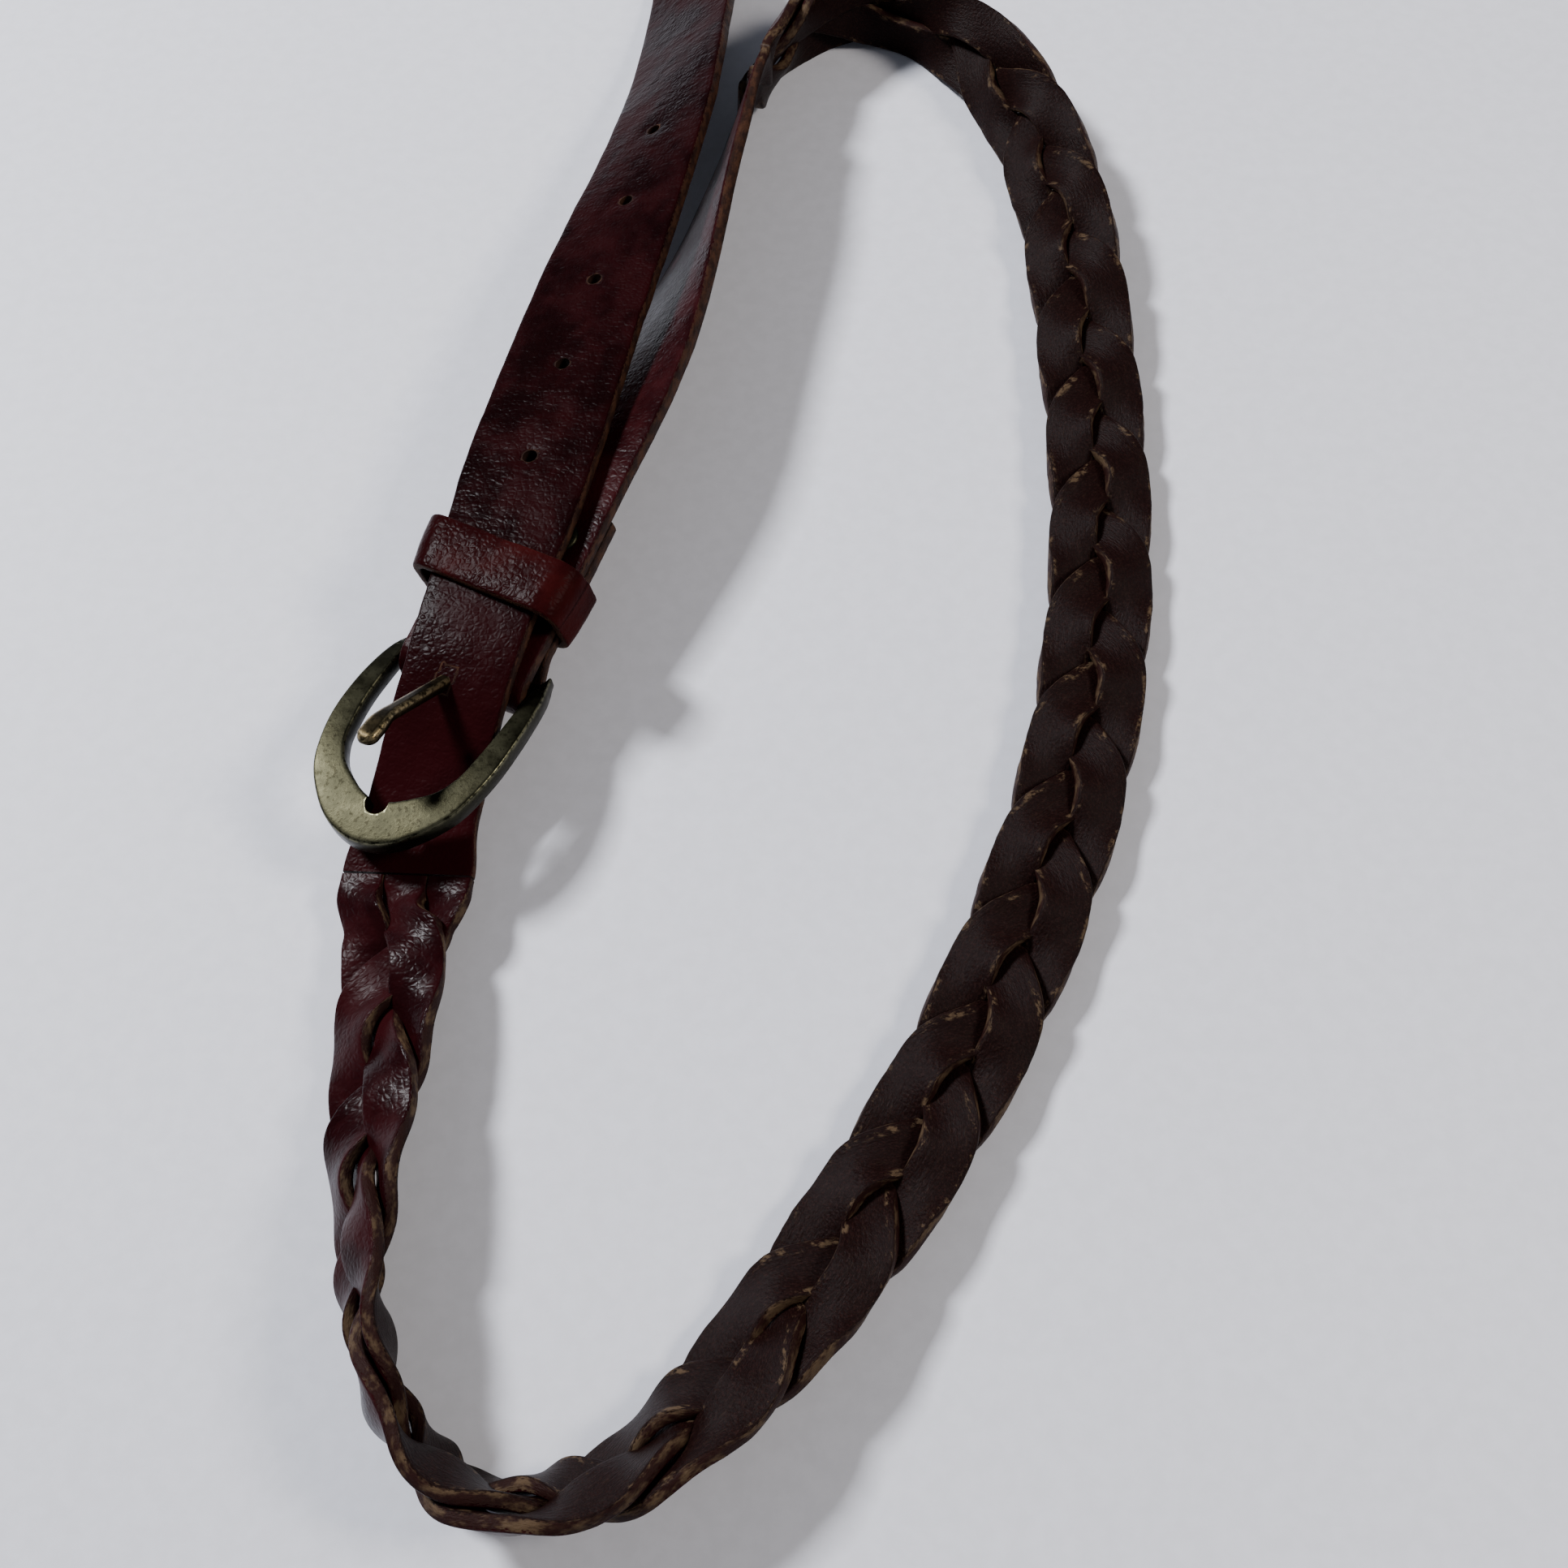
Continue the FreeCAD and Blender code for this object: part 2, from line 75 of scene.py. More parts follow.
# Route control points: x, y, z of the strap's middle and its roll about the route in degrees.
ROUTE = np.array([
    (-63.8, 18.8, 15.6, 7), (-56.0, 37.2, 18.2, 8), (-48.4, 55.5, 19.6, 12),
    (-40.5, 73.5, 19.6, 20), (-33.0, 90.0, 18.0, 32), (-27.5, 107.0, 15.6, 45),
    (-22.5, 125.0, 14.1, 55), (-18.0, 143.0, 14.0, 64), (-13.5, 161.0, 14.2, 70),
    (-9.5, 180.0, 13.3, 74), (-3.0, 202.0, 11.1, 80), (9.5, 218.0, 10.3, 86),
    (27.0, 221.5, 10.5, 97), (44.5, 209.5, 10.8, 113), (57.0, 189.5, 10.3, 128),
    (65.0, 167.0, 9.0, 143), (69.0, 140.0, 7.0, 158), (70.0, 112.0, 5.3, 172),
    (70.5, 84.0, 4.4, 180), (69.0, 54.0, 4.3, 180), (64.5, 21.0, 4.3, 180),
    (56.0, -10.0, 4.3, 180), (43.5, -40.0, 4.3, 180), (28.5, -68.0, 4.6, 176),
    (10.5, -93.0, 6.2, 164), (-6.0, -113.0, 8.8, 145), (-22.5, -128.5, 10.4, 124),
    (-41.0, -136.5, 10.8, 108), (-58.5, -130.0, 10.6, 98), (-68.5, -114.0, 10.3, 82),
    (-73.5, -93.0, 10.6, 62), (-74.0, -70.0, 9.2, 36), (-73.5, -47.0, 7.4, 22),
    (-73.5, -24.0, 6.0, 8), (-70.3, -6.0, 7.9, -2), (-65.9, 9.0, 17.5, 5),
    (-61.5, 25.0, 21.8, 7), (-57.0, 43.0, 22.9, 9), (-52.5, 64.0, 23.2, 10),
    (-47.0, 90.0, 22.8, 12), (-41.0, 117.0, 21.8, 17), (-34.5, 143.0, 21.0, 24),
    (-29.0, 168.0, 19.0, 30), (-26.0, 193.0, 15.0, 35), (-24.0, 218.0, 10.5, 37),
    (-22.0, 243.0, 9.5, 36), (-20.5, 262.0, 8.5, 33)])


# ---- the route -----------------------------------------------------------------------------
def route_value(u):
    """Rows of the uniform cubic B-spline at the parameters u."""
    pts = np.vstack([2 * ROUTE[0] - ROUTE[1], ROUTE, 2 * ROUTE[-1] - ROUTE[-2]])
    u = np.clip(np.asarray(u, float), 0, len(ROUTE) - 1)
    i = np.minimum(u.astype(int), len(ROUTE) - 2)
    t = (u - i)[:, None]
    w = ((1 - t) ** 3 / 6, (3 * t ** 3 - 6 * t * t + 4) / 6,
         (-3 * t ** 3 + 3 * t * t + 3 * t + 1) / 6, t ** 3 / 6)
    return sum(w[k] * pts[i + k] for k in range(4))


TABLE_U = np.linspace(0, len(ROUTE) - 1, (len(ROUTE) - 1) * 50 + 1)
STEPS = np.diff(route_value(TABLE_U)[:, :3], axis=0)
TABLE_S = np.concatenate([[0.0], np.cumsum(np.linalg.norm(STEPS, axis=1))])


def unit(a):
    """Rows of a at length one."""
    return a / np.linalg.norm(a, axis=-1, keepdims=True)


def frames(s):
    """Middle, along, across and grain directions at the stations s, as rows."""
    u = np.interp(s, TABLE_S, TABLE_U)
    row = route_value(u)
    last = len(ROUTE) - 1
    ahead = route_value(np.minimum(u + 0.01, last))[:, :3]
    along = unit(ahead - route_value(np.maximum(u - 0.01, 0))[:, :3])
    level = unit(np.stack([along[:, 1], -along[:, 0], 0 * along[:, 0]], 1))
    above = np.cross(level, along)
    roll = np.radians(row[:, 3:4])
    side = level * np.cos(roll) + above * np.sin(roll)
    return row[:, :3] - MIDDLE, along, side, above * np.cos(roll) - level * np.sin(roll)


def frame_at(s):
    """What frames gives, for one station."""
    return [a[0] for a in frames(np.array([float(s)]))]


def ramp(x):
    """Smooth step from 0 to 1."""
    x = np.clip(x, 0.0, 1.0)
    return x * x * (3 - 2 * x)


def noise(u, v, seed):
    """Smooth value noise from -1 to 1 on a repeating grid."""
    grid = np.random.RandomState(seed).rand(64, 64) * 2 - 1
    iu, iv = np.floor(u).astype(int), np.floor(v).astype(int)
    fu, fv = ramp(u - iu), ramp(v - iv)
    a, b = grid[iu % 64, iv % 64], grid[(iu + 1) % 64, iv % 64]
    c, d = grid[iu % 64, (iv + 1) % 64], grid[(iu + 1) % 64, (iv + 1) % 64]
    return (a * (1 - fu) + b * fu) * (1 - fv) + (c * (1 - fu) + d * fu) * fv


# ---- mesh helpers --------------------------------------------------------------------------
def mesh_object(name, verts, faces, strip=None, smooth=True):
    """Mesh from millimetre points; strip is (along, across, side) for each point."""
    mesh = bpy.data.meshes.new(name)
    mesh.from_pydata((np.asarray(verts) * MM).tolist(), [], faces)
    if strip is not None:
        layer = mesh.attributes.new("strip", "FLOAT_VECTOR", "POINT")
        layer.data.foreach_set("vector", np.asarray(strip, np.float32).ravel())
    mesh.polygons.foreach_set("use_smooth", [smooth] * len(mesh.polygons))
    mesh.update()
    obj = bpy.data.objects.new(name, mesh)
    bpy.context.collection.objects.link(obj)
    return obj


def ring_faces(rows, cols, closed=False):
    """Faces between rings of cols points; capped at both ends unless closed into a loop."""
    faces = []
    for r in range(rows if closed else rows - 1):
        a, b = r * cols, ((r + 1) % rows) * cols
        for c in range(cols):
            d = (c + 1) % cols
            faces.append((a + c, a + d, b + d, b + c))
    if not closed:
        faces.append(tuple(reversed(range(cols))))
        faces.append(tuple(range((rows - 1) * cols, rows * cols)))
    return faces


def section(half, thick, radius, count, arc=3):
    """Rounded-rectangle outlines: x, z and side (1 top, 0 edge, -1 under), one row per station."""
    half, thick = np.asarray(half, float)[:, None], np.asarray(thick, float)[:, None]
    r = np.minimum(radius, np.minimum(half, thick / 2) * 0.95)
    flat = np.linspace(-1, 1, count)[None, :]
    turn = np.linspace(90, -90, 2 * arc + 1)[1:-1]
    cx, sz = np.cos(np.radians(turn))[None, :], np.sin(np.radians(turn))[None, :]
    rise = np.where(turn > 0, 1.0, np.where(turn < 0, -1.0, 0.0))[None, :]
    ones = np.ones_like(half)
    x = [flat * (half - r), half - r + cx * r, -flat * (half - r), -(half - r) - cx * r]
    z = [ones * flat * 0 + thick / 2, rise * (thick / 2 - r) + sz * r,
         ones * flat * 0 - thick / 2, -rise * (thick / 2 - r) - sz * r]
    side = [ones * flat * 0 + 1, ones * sz, ones * flat * 0 - 1, -ones * sz]
    return np.hstack(x), np.hstack(z), np.hstack(side)


def sweep(name, path, half, thick, radius, count, shift=None, deform=None, along=None,
          closed=False, seed=0.0):
    """Solid strip along path = (points, across, grain); shift is (across, grain, slope)."""
    points, across, grain = path
    x, z, side = section(half, thick, radius, count)
    rows, cols = x.shape
    s = np.repeat(np.asarray(along, float)[:, None], cols, 1)
    strip = np.stack([s + seed, x, side], -1)
    if deform is not None:
        x, z = deform(s, x, z, side)
    a = g = m = np.zeros((rows, 1))
    if shift is not None:
        a, g, m = (v[:, None] for v in shift)
    lean = np.sqrt(1 + m * m)
    px, pz = a + (x - m * z) / lean, g + (m * x + z) / lean
    verts = points[:, None] + across[:, None] * px[..., None] + grain[:, None] * pz[..., None]
    return mesh_object(name, verts.reshape(-1, 3), ring_faces(rows, cols, closed),
                       strip.reshape(-1, 3))


def applied(obj):
    """Replaces the object's mesh by what its modifiers make of it."""
    graph = bpy.context.evaluated_depsgraph_get()
    mesh = bpy.data.meshes.new_from_object(obj.evaluated_get(graph), depsgraph=graph,
                                           preserve_all_data_layers=True)
    obj.modifiers.clear()
    obj.data = mesh
    return obj


def read_points(mesh, layer=None):
    """Points of the mesh, or the vectors that a layer gives them."""
    data = np.zeros(len(mesh.vertices) * 3, np.float32)
    if layer is None:
        mesh.vertices.foreach_get("co", data)
    else:
        mesh.attributes[layer].data.foreach_get("vector", data)
    return data.reshape(-1, 3)


def combine(obj, tool, operation="DIFFERENCE"):
    """Boolean that carries the strip coordinates over; new points count as cut edge."""
    old, strip = read_points(obj.data), read_points(obj.data, "strip")
    mod = obj.modifiers.new("cut", "BOOLEAN")
    mod.object, mod.operation, mod.solver = tool, operation, "EXACT"
    bpy.context.view_layer.update()
    applied(obj)
    bpy.data.objects.remove(tool)
    tree = KDTree(len(old))
    for i, co in enumerate(old):
        tree.insert(co, i)
    tree.balance()
    rows = []
    for co in read_points(obj.data):
        _, i, gap = tree.find(co)
        rows.append(strip[i] if gap < 1e-6 else (strip[i][0], strip[i][1], 0.0))
    if "strip" in obj.data.attributes:
        obj.data.attributes.remove(obj.data.attributes["strip"])
    layer = obj.data.attributes.new("strip", "FLOAT_VECTOR", "POINT")
    layer.data.foreach_set("vector", np.asarray(rows, np.float32).ravel())
    return obj


def rod(name, centre, axis, radius, back, ahead, sides=28):
    """Cylinder with its axis through centre."""
    axis = unit(np.asarray(axis, float))
    u = unit(np.cross(axis, (0.3, 0.5, 0.81)))
    v = np.cross(axis, u)
    verts = []
    for t in (-back, ahead):
        for k in range(sides):
            a = 2 * math.pi * k / sides
            verts.append(centre + axis * t + (u * math.cos(a) + v * math.sin(a)) * radius)
    return mesh_object(name, verts, ring_faces(2, sides), smooth=False)


def prism(name, outline, direction):
    """Solid between a planar outline and its copy moved by direction."""
    outline = np.asarray(outline)
    count = len(outline)
    verts = np.vstack([outline, outline + direction])
    return mesh_object(name, verts, ring_faces(2, count), smooth=False)


# ---- buckle geometry -----------------------------------------------------------------------
BAR_MIDDLE, BAR_ALONG, BAR_SIDE, BAR_NORMAL = frame_at(0)
INNER_BEND = BAR_RADIUS + BAR_CLEARANCE
BAR_CENTRE = BAR_MIDDLE - BAR_NORMAL * (INNER_BEND + STRAP_THICK / 2)


def swing_point(pitch, reach, rise):
    """Point in the middle plane of the buckle, reach ahead of the bar at a given pitch."""
    c, s = math.cos(math.radians(pitch)), math.sin(math.radians(pitch))
    ahead, above = -BAR_ALONG * c - BAR_NORMAL * s, BAR_NORMAL * c - BAR_ALONG * s
    return BAR_CENTRE + np.multiply.outer(reach, ahead) + np.multiply.outer(rise, above)


def frame_point(u, v, h=0.0):
    """u toward the keeper, v toward the inner edge, h above the plane of bar and toe."""
    u, v = np.asarray(u, float), np.asarray(v, float)
    return (swing_point(FRAME_PITCH, BAR_STATION - u, h + 0 * u)
            + np.multiply.outer(v + FRAME_OFFSET, BAR_SIDE))


def keeper_frame():
    """Middle of the keeper with its axis, side and normal, turned on the straps."""
    middle, along, side, normal = frame_at(KEEPER_STATION)
    c, s = math.cos(math.radians(KEEPER_TURN)), math.sin(math.radians(KEEPER_TURN))
    return middle, along * c - side * s, side * c + along * s, normal


# ---- leather pieces ------------------------------------------------------------------------
def hide(seed, rough=0.12, crown=0.25, wave=0.18, roots=None):
    """Deformation that gives a strap worn, slightly uneven faces; it fades out at the roots."""
    def deform(s, x, z, side):
        flat_x, flat_z = x, z
        wide = np.abs(x).max(axis=1, keepdims=True)
        f = x / wide
        lump = noise(s / 5.0, x / 4.0, seed) * 0.6 + noise(s / 2.1, x / 1.7, seed + 1) * 0.4
        z = z + lump * rough * side * (1 - 0.6 * np.abs(f) ** 4)
        z = z + crown * (1 - f * f) * np.sign(side) * 0.5
        z = z + noise(s / 19.0, x * 0 + 0.5, seed + 2) * 0.25 * f
        x = x + noise(s / 6.5, np.sign(x) * 3.5 + 8, seed + 3) * wave * np.abs(f) ** 6
        x = x + noise(s / 1.6, np.sign(x) * 3.5 + 8, seed + 4) * wave * 0.35 * np.abs(f) ** 8
        if roots is not None:
            keep = ramp(np.abs(s - roots[0]) / 10) * ramp(np.abs(s - roots[1]) / 10)
            x, z = flat_x + (x - flat_x) * keep, flat_z + (z - flat_z) * keep
        return x, z
    return deform


def buckle_leather():
    """Strap from the slits to the bar, folded round the bar and laid back under itself."""
    fold = np.arange(FOLD_LENGTH, 0.0, -ROW)
    middle, _, side, up = frames(fold)
    drop = INNER_BEND * 2 + STRAP_THICK
    lower = -drop + (drop - STRAP_THICK - FOLD_GAP) * ramp(fold / 9)
    points, across, grain = [middle + up * lower[:, None]], [side], [-up]
    length = [-fold - BEND_RUN]
    for beta in np.arange(180.0, 0.0, -7.5):
        a = math.radians(beta)
        normal = BAR_NORMAL * math.cos(a) - BAR_ALONG * math.sin(a)
        points.append((BAR_CENTRE + normal * (INNER_BEND + STRAP_THICK / 2))[None])
        across.append(BAR_SIDE[None])
        grain.append(normal[None])
        length.append(np.array([-beta / 180.0 * BEND_RUN]))
    top = np.arange(0.0, BUCKLE_SLIT + 0.01, ROW)
    middle, _, side, up = frames(top)
    points.append(middle)
    across.append(side)
    grain.append(up)
    length.append(top)
    length = np.concatenate(length)
    taper = ramp((length - BUCKLE_SLIT + 30) / 30)
    half = (STRAP_WIDTH + (SLIT_WIDTH - STRAP_WIDTH) * taper) / 2
    thick = STRAP_THICK + (STRAND_THICK - STRAP_THICK) * taper
    obj = sweep("buckle_leather", [np.vstack(a) for a in (points, across, grain)], half, thick,
                0.55, 25, deform=hide(11, crown=0.0, rough=0.08, roots=(BUCKLE_SLIT, BUCKLE_SLIT)),
                along=length)
    slot_ends, deep = (-10.0, 5.5), 20.0
    low = [BAR_CENTRE + BAR_ALONG * a - BAR_SIDE * FOLD_SLOT / 2 - BAR_NORMAL * deep
           for a in slot_ends]
    outline = low + [q + BAR_NORMAL * 2 * deep for q in reversed(low)]
    return combine(obj, prism("slot", outline, BAR_SIDE * FOLD_SLOT))


def strand_line(lane, s):
    """Across, grain and slope of one strand; lane is -1 outer, 0 middle, 1 inner."""
    turns = (PLAIT_ORIGIN - s) / PLAIT_PITCH - EASE_TURNS * ramp((EASE_START - s) / EASE_LENGTH)
    turn = 2 * math.pi * (turns + lane / 3.0)
    across = PLAIT_REACH * (np.cos(turn) - SWING_FLAT * np.cos(3 * turn))
    grain = WEAVE_FINE * np.sin(4 * turn) - WEAVE * np.sin(2 * turn)
    slope = TILT_FINE * np.sin(3 * turn) - TILT * np.sin(turn)
    near, far = s - BUCKLE_SLIT, TIP_SLIT - s
    swing = np.where(near < far, ramp((near - 3) / 6), ramp((far - 4) / 8))
    weave = np.where(near < far, ramp(near / 8), ramp(far / 8))
    return LANE * lane * (1 - swing) + across * swing, grain * weave, slope * weave


def plait_strand(name, lane):
    """One strand of the plait, widened where it crosses the belt at a slant."""
    s, gap = np.arange(BUCKLE_SLIT, TIP_SLIT + 0.01, ROW), 0.3
    slant = (strand_line(lane, s + gap)[0] - strand_line(lane, s - gap)[0]) / (2 * gap)
    swell = 1 + SWELL * ramp((s - BUCKLE_SLIT) / 14) * ramp((TIP_SLIT - s) / 14)
    half = STRAND_WIDTH / 2 * swell * np.hypot(1, slant)
    middle, _, side, up = frames(s)
    return sweep(name, (middle, side, up), half, np.full_like(s, STRAND_THICK), 0.45, 11,
                 shift=strand_line(lane, s), along=s, seed=2000.0 * (lane + 2),
                 deform=hide(30 + 10 * lane, rough=0.07, crown=0.5, wave=0.22,
                             roots=(BUCKLE_SLIT, TIP_SLIT)))


def tip_half(s):
    """Half-width of the tip strap, drawn in at the buckle's throat and rounded at its end."""
    throat, release = 794.0, 803.0
    x = np.clip((s - TIP_END + TIP_ROUND) / (TIP_ROUND + 0.6), 0, 1)
    end = STRAP_WIDTH / 2 * np.sqrt(1 - x * x)
    slit = (SLIT_WIDTH + (THROAT_WIDTH - SLIT_WIDTH) * ramp((s - TIP_SLIT) / 14)) / 2
    body = (THROAT_WIDTH + (STRAP_WIDTH - THROAT_WIDTH) * ramp((s - release) / 60)) / 2
    return np.where(s > TIP_END - TIP_ROUND, end, np.where(s < throat, slit, body))


def tip_leather():
    """Flat tip of the strap, with its punched holes and the slot that the prong sweeps."""
    s = np.concatenate([np.arange(TIP_SLIT, TIP_END - TIP_ROUND, ROW),
                        TIP_END - TIP_ROUND * (1 - np.linspace(0, 1, 30) ** 0.7)])
    thick = STRAND_THICK + (STRAP_THICK - STRAND_THICK) * ramp((s - TIP_SLIT) / 20)
    middle, _, side, up = frames(s)
    base = hide(50, rough=0.1, crown=0.45, roots=(TIP_SLIT, TIP_SLIT))
    holes = FIRST_HOLE + HOLE_PITCH * np.arange(HOLE_COUNT)

    def deform(s, x, z, side):
        x, z = base(s, x, z, side)
        for h in holes[1:]:
            away = np.hypot(s - h, x)
            z = z - DIMPLE * np.exp(-(away / DIMPLE_RADIUS) ** 2) * (side > 0)
        return x, z
    obj = sweep("tip_leather", (middle, side, up), tip_half(s), thick, 0.55, 25, deform=deform,
                along=s, seed=TIP_SEED)
    for station in holes[1:]:
        centre, _, _, normal = frame_at(station)
        obj = combine(obj, rod("punch", centre, normal, HOLE_RADIUS, 6, 6))
    low, high, near, far = PRONG_PITCH, PRONG_PITCH - PRONG_SWING, 3.0, 32.0
    under = PRONG_RISE - PRONG_THICK / 2 - SLOT_ROOM
    over = PRONG_RISE + PRONG_THICK / 2 + SLOT_ROOM
    half = PRONG_WIDTH / 2 + SLOT_ROOM
    outline = [swing_point(low, near, under), swing_point(low, far, under),
               swing_point(high, far, over), swing_point(high, near, over)]
    outline = [q - BAR_SIDE * half for q in outline]
    return combine(obj, prism("slot", outline, BAR_SIDE * (2 * half)))


def keeper_loop():
    """Leather band bent square round the straps."""
    middle, axis, side, normal = keeper_frame()
    wall = KEEPER_WALL / 2
    left, right = KEEPER_LEFT - wall, KEEPER_RIGHT + wall
    low, high, radius = KEEPER_BOTTOM - wall, KEEPER_TOP + wall, 4.3
    corners = [(right - radius, high - radius, 0), (left + radius, high - radius, 90),
               (left + radius, low + radius, 180), (right - radius, low + radius, 270)]
    spots, turns = [], []
    for k, (cx, cz, start) in enumerate(corners):
        for a in np.linspace(start, start + 90, 9):
            spots.append((cx + radius * math.cos(math.radians(a)),
                          cz + radius * math.sin(math.radians(a))))
            turns.append(a)
        nx, nz = corners[(k + 1) % 4][:2]
        gap = max(abs(nx - cx), abs(nz - cz))
        count = int(gap / ROW)
        for i in range(1, count):
            f = i / count
            a = math.radians(start + 90)
            spots.append((cx + (nx - cx) * f + radius * math.cos(a),
                          cz + (nz - cz) * f + radius * math.sin(a)))
            turns.append(start + 90)
    spots, turns = np.array(spots), np.radians(turns)
    out = side * np.cos(turns)[:, None] + normal * np.sin(turns)[:, None]
    points = middle + side * spots[:, :1] + normal * spots[:, 1:]
    step = np.linalg.norm(np.diff(spots, axis=0), axis=1)
    along = np.concatenate([[0], np.cumsum(step)])
    count = len(spots)
    lean = 0.2 * ramp((-spots[:, :1] - 6) / 8)     # flares the left wall away from the buckle
    return sweep("keeper_loop", (points, axis - side * lean, out),
                 np.full(count, KEEPER_WIDTH / 2), np.full(count, KEEPER_WALL), 0.5, 13,
                 deform=hide(70, rough=0.09, crown=0.5, wave=0.16), along=along, closed=True,
                 seed=700.0)


# ---- metal pieces --------------------------------------------------------------------------
OUTLINE = [(-23.4, 0.0), (-21.5, 7.1), (-16.7, 12.7), (-11.7, 16.2), (-6.3, 18.0), (0.0, 19.1),
           (5.0, 19.3), (11.5, 19.1), (19.0, 18.1), (24.5, 16.4)]
OPENING = [(-14.7, 0.0), (-13.9, 3.1), (-11.6, 7.1), (-8.7, 10.7), (-5.0, 12.8), (1.3, 14.1),
           (7.0, 14.7), (13.1, 14.9), (20.9, 15.3), (24.4, 15.8)]


def smooth_line(points, count):
    """Evenly spaced points on a smooth curve through points, mirrored about the u axis."""
    pts = np.array([(u, -v) for u, v in reversed(points[1:])] + points)
    knot = np.concatenate([[0], np.cumsum(np.linalg.norm(np.diff(pts, axis=0), axis=1))])
    slope = np.gradient(pts, knot, axis=0)
    fine = np.linspace(0, knot[-1], 2001)
    i = np.clip(np.searchsorted(knot, fine, side="right") - 1, 0, len(knot) - 2)
    gap = (knot[i + 1] - knot[i])[:, None]
    t = ((fine - knot[i])[:, None]) / gap
    curve = ((2 * t ** 3 - 3 * t ** 2 + 1) * pts[i] + (t ** 3 - 2 * t ** 2 + t) * gap * slope[i]
             + (3 * t ** 2 - 2 * t ** 3) * pts[i + 1] + (t ** 3 - t ** 2) * gap * slope[i + 1])
    run = np.concatenate([[0], np.cumsum(np.linalg.norm(np.diff(curve, axis=0), axis=1))])
    at = np.linspace(0, run[-1], count)
    return np.stack([np.interp(at, run, curve[:, k]) for k in (0, 1)], 1)


def bow(u):
    """Height of the bowed frame above the plane of its bar and toe."""
    toe = OUTLINE[0][0]
    half_chord, middle = (BAR_STATION - toe) / 2, (BAR_STATION + toe) / 2
    return np.sqrt(FRAME_BOW ** 2 - (u - middle) ** 2) - math.sqrt(FRAME_BOW ** 2 - half_chord ** 2)


def frame_casting():
    """Horseshoe frame with rounded arrises, bowed along its length, with its bar."""
    count = 181
    outer, inner = smooth_line(OUTLINE, count), smooth_line(OPENING, count)
    middle, reach = (outer + inner) / 2, outer - inner
    wide = np.linalg.norm(reach, axis=1)
    out = reach / wide[:, None]
    thick = np.full(count, FRAME_THICK) * np.clip(0.55 + wide / 6, 0, 1)
    x, z, side = section(wide / 2, thick, 0.5, 13, arc=4)
    crown = 0.06 * (1 - (x / (wide / 2)[:, None]) ** 2) * (side > 0.9)
    uv = middle[:, None] + out[:, None] * x[..., None]
    verts = frame_point(uv[..., 0], uv[..., 1], z + crown + bow(uv[..., 0]))
    run = np.concatenate([[0], np.cumsum(np.linalg.norm(np.diff(middle, axis=0), axis=1))])
    strip = np.stack([np.repeat(run[:, None], x.shape[1], 1), x, side], -1)
    obj = mesh_object("frame_casting", verts.reshape(-1, 3), ring_faces(*x.shape),
                      strip.reshape(-1, 3))
    up = frame_point(0, 0, 1) - frame_point(0, 0, 0)
    notch = frame_point(OPENING[0][0] - 0.4, 0.6)
    obj = combine(obj, rod("notch", notch, up, NOTCH_RADIUS, 15, 15))
    bar_reach = 17.2
    bar = rod("bar", frame_point(BAR_STATION, 0.0), BAR_SIDE, BAR_RADIUS, bar_reach, bar_reach)
    return combine(obj, bar, "UNION")


def prong_casting():
    """Prong looped round the bar, turned down and rounded at its tip."""
    cap_start = PRONG_LENGTH - 2.0
    r = np.concatenate([np.linspace(2.7, 27, 22), np.linspace(27.4, cap_start, 16),
                        cap_start + 2.0 * np.sin(np.linspace(0.1, 1.52, 9))])
    rise = PRONG_RISE - 2.3 * ramp((r - 28.2) / 7.8) - 0.25 * ramp((r - 33) / 3)
    half = PRONG_WIDTH / 2 + 0.62 * ramp((r - 26.5) / 5.5)
    thick = PRONG_THICK - 0.25 * np.exp(-((r - 29.2) / 1.3) ** 2)
    cap = np.sqrt(np.clip(1 - np.clip((r - cap_start) / 2.03, 0, 1) ** 2, 0.004, 1))
    points = swing_point(PRONG_PITCH, r, rise)
    ahead = unit(np.gradient(points, axis=0))
    side = np.repeat(BAR_SIDE[None], len(r), 0)
    obj = sweep("prong_casting", (points, side, np.cross(side, ahead) * -1), half * cap,
                thick * cap, 1.05, 7, along=r)
    ring = []
    profile = [(PRONG_BORE, -1.3), (PRONG_BORE + 0.3, -1.55), (PRONG_EYE - 0.5, -1.55),
               (PRONG_EYE, -1.05), (PRONG_EYE, 1.05), (PRONG_EYE - 0.5, 1.55),
               (PRONG_BORE + 0.3, 1.55), (PRONG_BORE, 1.3)]
    for a in np.linspace(0, 2 * math.pi, 48, endpoint=False):
        spoke = BAR_ALONG * math.cos(a) + BAR_NORMAL * math.sin(a)
        ring += [BAR_CENTRE + spoke * rad + BAR_SIDE * w for rad, w in profile]
    eye = mesh_object("eye", ring, ring_faces(48, len(profile), closed=True))
    return combine(obj, eye, "UNION")


def lathe(name, rows, spots):
    """Turned studs: rows of (radius, height), one stud for each (centre, axis)."""
    sides, verts, faces = 32, [], []
    for centre, axis in spots:
        u = unit(np.cross(axis, (0.3, 0.5, 0.81)))
        v = np.cross(axis, u)
        base = len(verts)
        for radius, height in rows:
            for k in range(sides):
                a = 2 * math.pi * k / sides
                spoke = u * math.cos(a) + v * math.sin(a)
                verts.append(centre + axis * height + spoke * radius)
        faces += [tuple(i + base for i in f) for f in ring_faces(len(rows), sides)]
    return mesh_object(name, verts, faces, [(0, 0, 0)] * len(verts))


